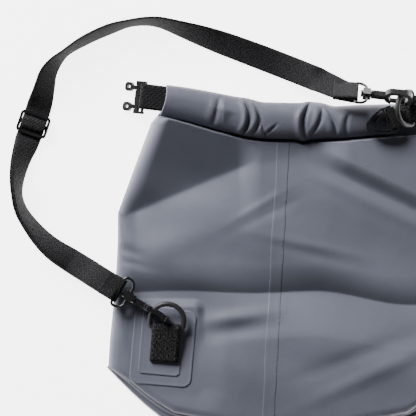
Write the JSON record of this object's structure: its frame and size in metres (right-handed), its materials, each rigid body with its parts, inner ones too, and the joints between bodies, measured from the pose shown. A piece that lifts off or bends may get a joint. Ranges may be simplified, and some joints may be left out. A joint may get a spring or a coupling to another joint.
{
  "type": "roll-top dry bag",
  "caption": "Roll-top waterproof bag lying flat, rolled mouth with side-release buckle halves, welded ring patches and a webbing shoulder strap on swivel snap hooks.",
  "frame": {"origin": "on the bag's flat back face, on the centre line of the body, 165 mm below the top of the rolled mouth", "axes": "+X across the bag, +Y from the base towards the rolled mouth, +Z out of the front face"},
  "size_m": [0.4727, 0.4316, 0.0497],
  "materials": {
    "coated_fabric": "matt coated",
    "patch_film": "matt",
    "stiffener": "plain",
    "webbing": "woven",
    "pin_metal": "black",
    "ring": "matt black",
    "hardware_plastic": "satin black"
  },
  "bodies": {
    "bag": {"body_tube": "coated_fabric", "base_panel": "coated_fabric", "body_seam": "coated_fabric", "rolled_top": "coated_fabric", "mouth_stiffener": "stiffener", "patch_outer": "patch_film", "patch_inner": "patch_film", "ring_tab_lower": "webbing", "ring_tab_upper": "webbing", "mouth_webbing_end": "webbing", "closure_webbing_left": "webbing", "closure_webbing_right": "webbing", "strap_long_run": "webbing", "strap_return_layer": "webbing", "strap_loop_lower": "webbing", "strap_loop_upper": "webbing", "hook_eye_lower": "hardware_plastic", "hook_eye_upper": "hardware_plastic"},
    "d_ring_lower": {"d_ring_lower": "ring"},
    "hook_lower": {"hook_body_lower": "hardware_plastic", "swivel_rivet_lower": "pin_metal", "gate_pin_lower": "pin_metal"},
    "hook_gate_lower": {"hook_gate_lower": "hardware_plastic"},
    "d_ring_upper": {"d_ring_upper": "ring"},
    "hook_upper": {"hook_body_upper": "hardware_plastic", "swivel_rivet_upper": "pin_metal", "gate_pin_upper": "pin_metal"},
    "hook_gate_upper": {"hook_gate_upper": "hardware_plastic"},
    "slider": {"slider_frame": "hardware_plastic"},
    "male_buckle": {"male_buckle_body": "hardware_plastic"},
    "male_arm_upper": {"male_arm_upper": "hardware_plastic"},
    "male_arm_lower": {"male_arm_lower": "hardware_plastic"},
    "female_buckle": {"female_buckle_body": "hardware_plastic"}
  },
  "joints": [
    {"name": "d_ring_lower_swing", "type": "hinge", "parent": "bag", "child": "d_ring_lower", "pos_m": [-0.1235, -0.0625, 0.02], "axis": [0.9962, -0.0872, 0], "range_deg": [0, 5]},
    {"name": "hook_lower_swivel", "type": "hinge", "parent": "bag", "child": "hook_lower", "pos_m": [-0.161, -0.031, 0.0249], "axis": [0.8572, -0.515, 0], "range_deg": [-10, 10]},
    {"name": "hook_gate_lower_open", "type": "hinge", "parent": "hook_lower", "child": "hook_gate_lower", "pos_m": [-0.14214, -0.04233, 0.0311], "axis": [-0.515, -0.8572, 0], "range_deg": [-12, 0], "stiffness_Nm_per_rad": 0.02},
    {"name": "d_ring_upper_swing", "type": "hinge", "parent": "bag", "child": "d_ring_upper", "pos_m": [0.1215, 0.156, 0.0224], "axis": [0, 1, 0], "range_deg": [0, 1.5]},
    {"name": "hook_upper_swivel", "type": "hinge", "parent": "bag", "child": "hook_upper", "pos_m": [0.0755, 0.1703, 0.0364], "axis": [0.9945, -0.1045, 0], "range_deg": [-8, 8]},
    {"name": "hook_gate_upper_open", "type": "hinge", "parent": "hook_upper", "child": "hook_gate_upper", "pos_m": [0.09699, 0.16426, 0.03148], "axis": [0.083, 0.7901, -0.6074], "range_deg": [-10, 0], "stiffness_Nm_per_rad": 0.02},
    {"name": "slider_travel", "type": "slide", "parent": "bag", "child": "slider", "axis": [0.3256, 0.9455, 0], "range_m": [-0.012, 0.004]},
    {"name": "male_buckle_pivot", "type": "hinge", "parent": "bag", "child": "male_buckle", "pos_m": [-0.1463, 0.167, 0.017], "axis": [0.1219, 0.9925, 0], "range_deg": [0, 60]},
    {"name": "male_arm_upper_squeeze", "type": "hinge", "parent": "male_buckle", "child": "male_arm_upper", "pos_m": [-0.15312, 0.17741, 0.01072], "axis": [-0.6111, 0.075, 0.788], "range_deg": [0, 6], "stiffness_Nm_per_rad": 0.05},
    {"name": "male_arm_lower_squeeze", "type": "hinge", "parent": "male_buckle", "child": "male_arm_lower", "pos_m": [-0.15544, 0.15855, 0.01072], "axis": [-0.6111, 0.075, 0.788], "range_deg": [-6, 0]},
    {"name": "female_buckle_pivot", "type": "hinge", "parent": "bag", "child": "female_buckle", "pos_m": [0.101, 0.1455, 0.0339], "axis": [-0.3584, 0.9336, 0], "range_deg": [0, 60]}
  ],
  "couplings": [
    {"joint": "male_arm_lower_squeeze", "follows": "male_arm_upper_squeeze", "ratio": -1}
  ]
}
